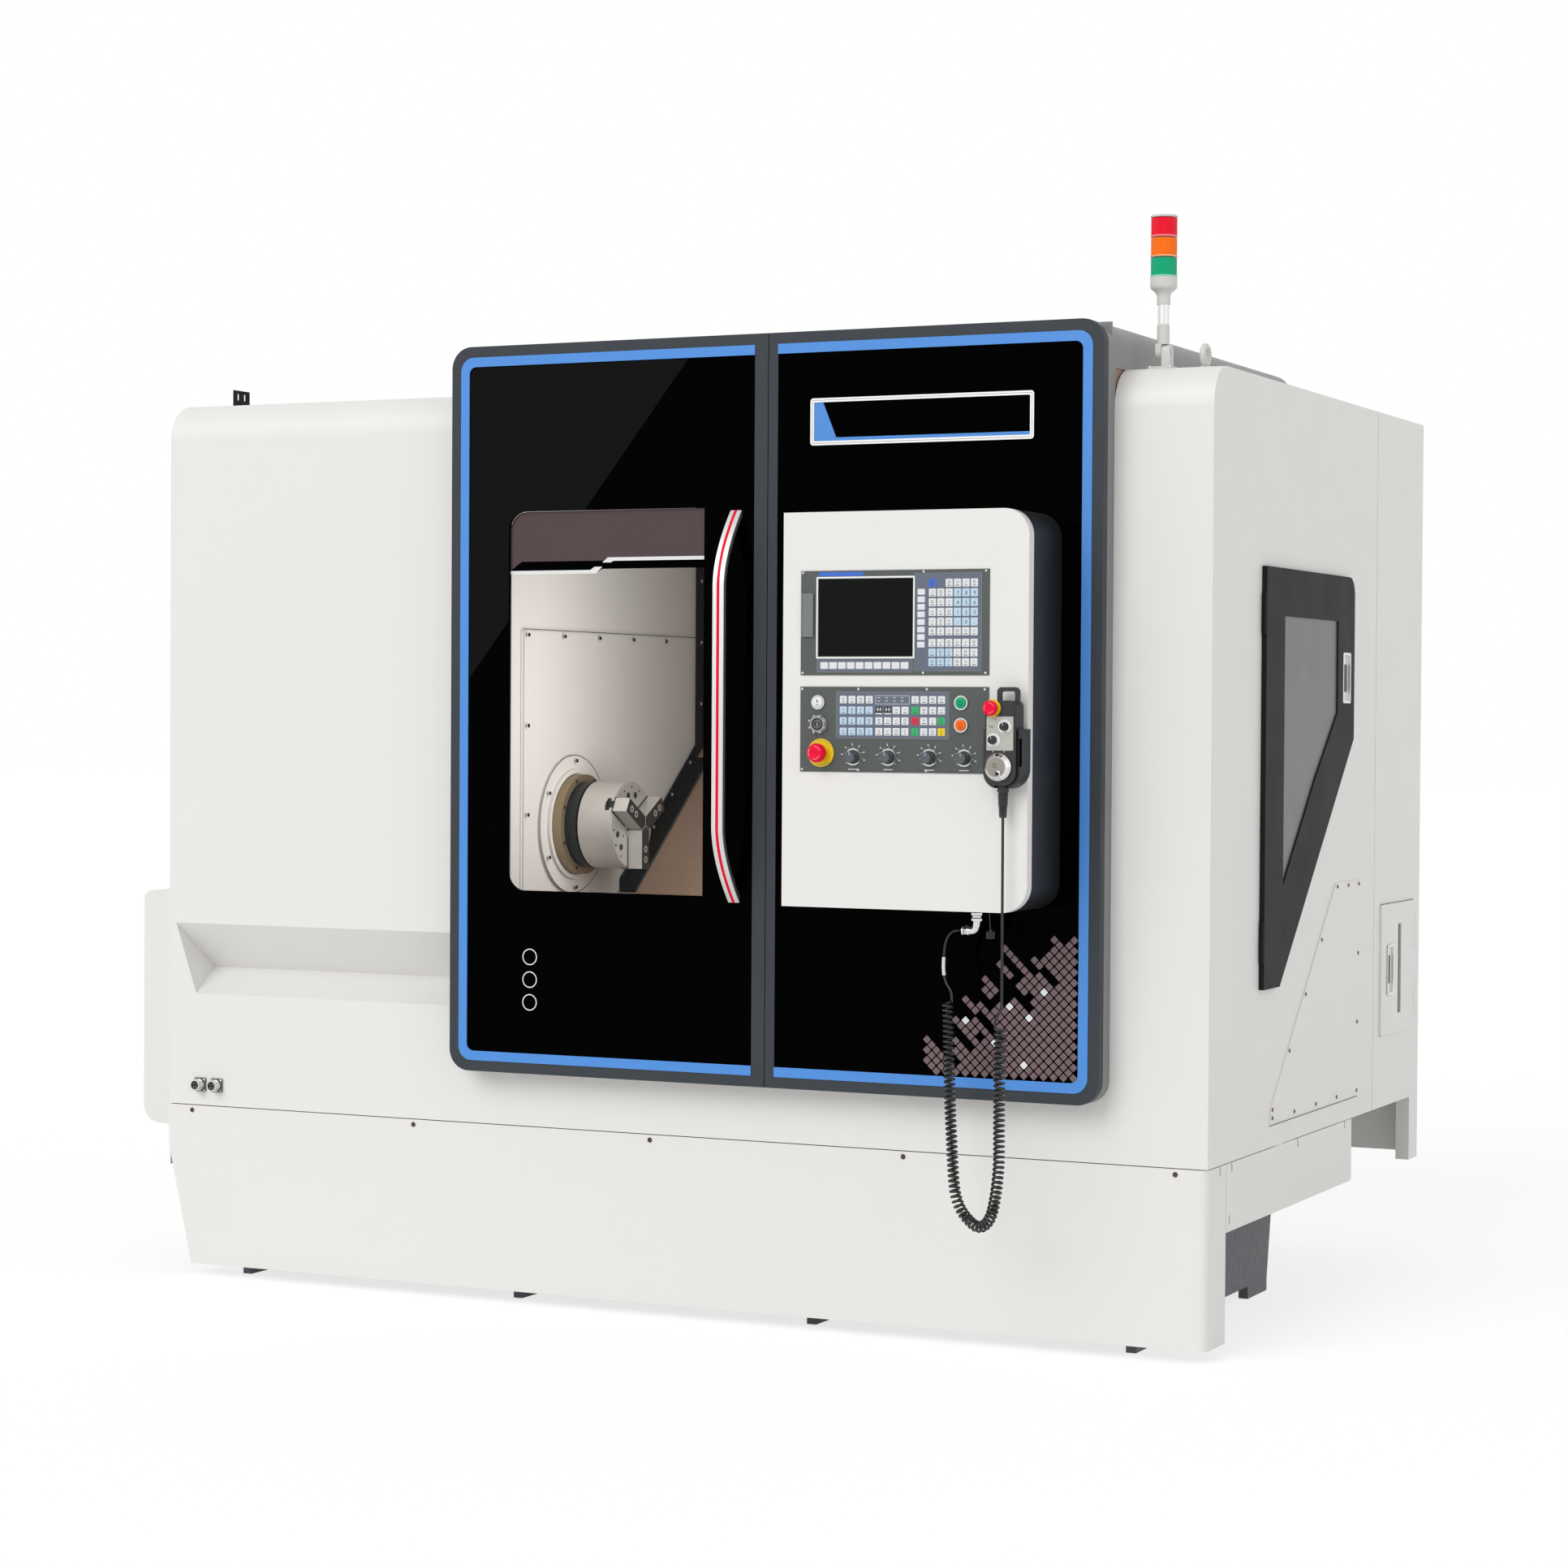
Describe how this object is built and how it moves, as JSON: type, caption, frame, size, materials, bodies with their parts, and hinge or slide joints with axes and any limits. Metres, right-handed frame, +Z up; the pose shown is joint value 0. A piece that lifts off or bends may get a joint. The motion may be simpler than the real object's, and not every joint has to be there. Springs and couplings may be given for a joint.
{
  "type": "cnc turning lathe",
  "caption": "Slant-bed turning lathe in a white housing with a sliding glazed door, a control box with a hanging handwheel unit on a curly cord, a side door and a signal tower.",
  "frame": {"origin": "middle of the floor area of the whole machine, on the floor", "axes": "+X to the right seen from the front, +Y to the back, +Z up"},
  "size_m": [2.859, 2.0119, 2.453],
  "materials": {
    "aluminium": "extruded, satin",
    "black_gloss": "high gloss",
    "black_plastic": "fine grain",
    "blue_paint": "satin",
    "cable_black": "smooth sheath",
    "cast_iron": "rough casting",
    "charcoal_paint": "satin",
    "chrome": "polished",
    "dark_steel": "blackened",
    "door_glass": "clear",
    "green_plastic": "smooth",
    "ground_steel": "ground",
    "guard_paint": "satin",
    "hood_grey": "satin",
    "key_grey": "satin film",
    "knob_grey": "satin",
    "lens_red": "ribbed lens",
    "orange_plastic": "smooth",
    "panel_grey": "satin",
    "red_plastic": "smooth",
    "screen": "glossy",
    "slate_paint": "fine textured paint",
    "smoked_pane": "smoked",
    "tower_grey": "smooth",
    "white_paint": "fine satin powder coat",
    "white_plastic": "smooth"
  },
  "bodies": {
    "machine": {"bed_casting": "cast_iron", "cable_fittings": "chrome", "centre_hood": "hood_grey", "chamber_liner": "guard_paint", "control_box": "black_plastic", "control_face": "white_paint", "cord_curl": "cable_black", "cord_straight": "cable_black", "cord_tail": "cable_black", "display_screen": "screen", "fixed_frame": "slate_paint", "fixed_panel": "black_gloss", "fixed_trim": "blue_paint", "guideways": "ground_steel", "headstock": "cast_iron", "headstock_guard": "guard_paint", "housing": "white_paint", "membrane_keys": "key_grey", "name_plate": "black_gloss", "panel_plates": "panel_grey", "panel_screws": "chrome", "pendant_body": "black_plastic", "pendant_holder": "black_plastic", "rear_cabinet": "white_paint", "roof_fittings": "dark_steel", "side_cover": "white_paint", "side_plate": "charcoal_paint", "skirts": "white_paint"},
    "door": {"door_frame": "slate_paint", "door_panel": "black_gloss", "door_window": "door_glass", "door_trim": "blue_paint", "door_handle": "aluminium", "handle_inlay": "red_plastic"},
    "spindle": {"spindle": "ground_steel"},
    "jaw_low": {"jaw_low": "dark_steel"},
    "jaw_front": {"jaw_front": "dark_steel"},
    "jaw_back": {"jaw_back": "dark_steel"},
    "carriage": {"carriage": "cast_iron"},
    "cross_slide": {"cross_slide": "cast_iron"},
    "turret": {"turret": "ground_steel"},
    "side_door": {"side_door": "charcoal_paint", "side_window": "smoked_pane"},
    "hatch": {"hatch_door": "charcoal_paint"},
    "usb_cover": {"usb_cover": "black_plastic"},
    "knob_1": {"knob_1": "knob_grey"},
    "knob_2": {"knob_2": "knob_grey"},
    "knob_3": {"knob_3": "knob_grey"},
    "knob_4": {"knob_4": "knob_grey"},
    "estop": {"estop_button": "red_plastic"},
    "white_button": {"white_button": "white_plastic"},
    "green_button": {"green_button": "green_plastic"},
    "orange_button": {"orange_button": "orange_plastic"},
    "key_switch": {"key_switch": "chrome"},
    "pendant_estop": {"pendant_estop": "red_plastic"},
    "axis_knob": {"axis_knob": "knob_grey"},
    "step_knob": {"step_knob": "knob_grey"},
    "pendant_wheel": {"pendant_wheel": "chrome"},
    "tower": {"tower_light": "tower_grey", "tower_lenses": "lens_red"}
  },
  "joints": [
    {"name": "door_slide", "type": "slide", "parent": "machine", "child": "door", "axis": [-1, 0, 0], "range_m": [0, 0.6]},
    {"name": "spindle_spin", "type": "hinge", "parent": "machine", "child": "spindle", "pos_m": [-0.2425, -0.284, 1.104], "axis": [1, 0, 0], "continuous": true},
    {"name": "jaw_low_slide", "type": "slide", "parent": "spindle", "child": "jaw_low", "axis": [0, 0, -1], "range_m": [0, 0.0037]},
    {"name": "jaw_front_slide", "type": "slide", "parent": "spindle", "child": "jaw_front", "axis": [0, -0.866, 0.5], "range_m": [0, 0.0037]},
    {"name": "jaw_back_slide", "type": "slide", "parent": "spindle", "child": "jaw_back", "axis": [0, 0.866, 0.5], "range_m": [0, 0.0037]},
    {"name": "carriage_slide", "type": "slide", "parent": "machine", "child": "carriage", "axis": [-1, 0, 0], "range_m": [0, 0.45]},
    {"name": "cross_slide_feed", "type": "slide", "parent": "carriage", "child": "cross_slide", "axis": [0, -0.7771, -0.6293], "range_m": [0, 0.18]},
    {"name": "turret_index", "type": "hinge", "parent": "cross_slide", "child": "turret", "pos_m": [0.7475, 0.04141, 1.36751], "axis": [1, 0, 0], "continuous": true},
    {"name": "side_door_hinge", "type": "hinge", "parent": "machine", "child": "side_door", "pos_m": [1.4255, -0.337, 1.2], "axis": [0, 0, -1], "range_deg": [0, 110]},
    {"name": "hatch_hinge", "type": "hinge", "parent": "machine", "child": "hatch", "pos_m": [1.422, 0.946, 0.75], "axis": [0, 0, 1], "range_deg": [0, 110]},
    {"name": "usb_cover_hinge", "type": "hinge", "parent": "machine", "child": "usb_cover", "pos_m": [0.5845, -0.9363, 1.585], "axis": [0, 0, -1], "range_deg": [0, 120]},
    {"name": "knob_1_turn", "type": "hinge", "parent": "machine", "child": "knob_1", "pos_m": [0.7055, -0.934, 1.283], "axis": [0, -1, 0], "range_deg": [-135, 135]},
    {"name": "knob_2_turn", "type": "hinge", "parent": "machine", "child": "knob_2", "pos_m": [0.787, -0.934, 1.283], "axis": [0, -1, 0], "range_deg": [-135, 135]},
    {"name": "knob_3_turn", "type": "hinge", "parent": "machine", "child": "knob_3", "pos_m": [0.8815, -0.934, 1.283], "axis": [0, -1, 0], "range_deg": [-135, 135]},
    {"name": "knob_4_turn", "type": "hinge", "parent": "machine", "child": "knob_4", "pos_m": [0.961, -0.934, 1.283], "axis": [0, -1, 0], "range_deg": [-135, 135]},
    {"name": "estop_press", "type": "slide", "parent": "machine", "child": "estop", "axis": [0, 1, 0], "range_m": [0, 0.006]},
    {"name": "white_button_press", "type": "slide", "parent": "machine", "child": "white_button", "axis": [0, 1, 0], "range_m": [0, 0.003], "stiffness_N_per_m": 600},
    {"name": "green_button_press", "type": "slide", "parent": "machine", "child": "green_button", "axis": [0, 1, 0], "range_m": [0, 0.003], "stiffness_N_per_m": 600},
    {"name": "orange_button_press", "type": "slide", "parent": "machine", "child": "orange_button", "axis": [0, 1, 0], "range_m": [0, 0.003], "stiffness_N_per_m": 600},
    {"name": "key_turn", "type": "hinge", "parent": "machine", "child": "key_switch", "pos_m": [0.6235, -0.934, 1.352], "axis": [0, -1, 0], "range_deg": [0, 90]},
    {"name": "pendant_estop_press", "type": "slide", "parent": "machine", "child": "pendant_estop", "axis": [0, 1, 0], "range_m": [0, 0.004]},
    {"name": "axis_knob_turn", "type": "hinge", "parent": "machine", "child": "axis_knob", "pos_m": [1.071, -0.981, 1.35], "axis": [0, -1, 0], "range_deg": [-60, 60]},
    {"name": "step_knob_turn", "type": "hinge", "parent": "machine", "child": "step_knob", "pos_m": [1.045, -0.981, 1.322], "axis": [0, -1, 0], "range_deg": [-45, 45]},
    {"name": "wheel_spin", "type": "hinge", "parent": "machine", "child": "pendant_wheel", "pos_m": [1.0575, -0.982, 1.2658], "axis": [0, -1, 0], "continuous": true},
    {"name": "tower_fold", "type": "hinge", "parent": "machine", "child": "tower", "pos_m": [1.2615, -0.555, 2.16], "axis": [-1, 0, 0], "range_deg": [0, 90]}
  ],
  "couplings": [
    {"joint": "jaw_front_slide", "follows": "jaw_low_slide", "ratio": 1},
    {"joint": "jaw_back_slide", "follows": "jaw_low_slide", "ratio": 1}
  ]
}
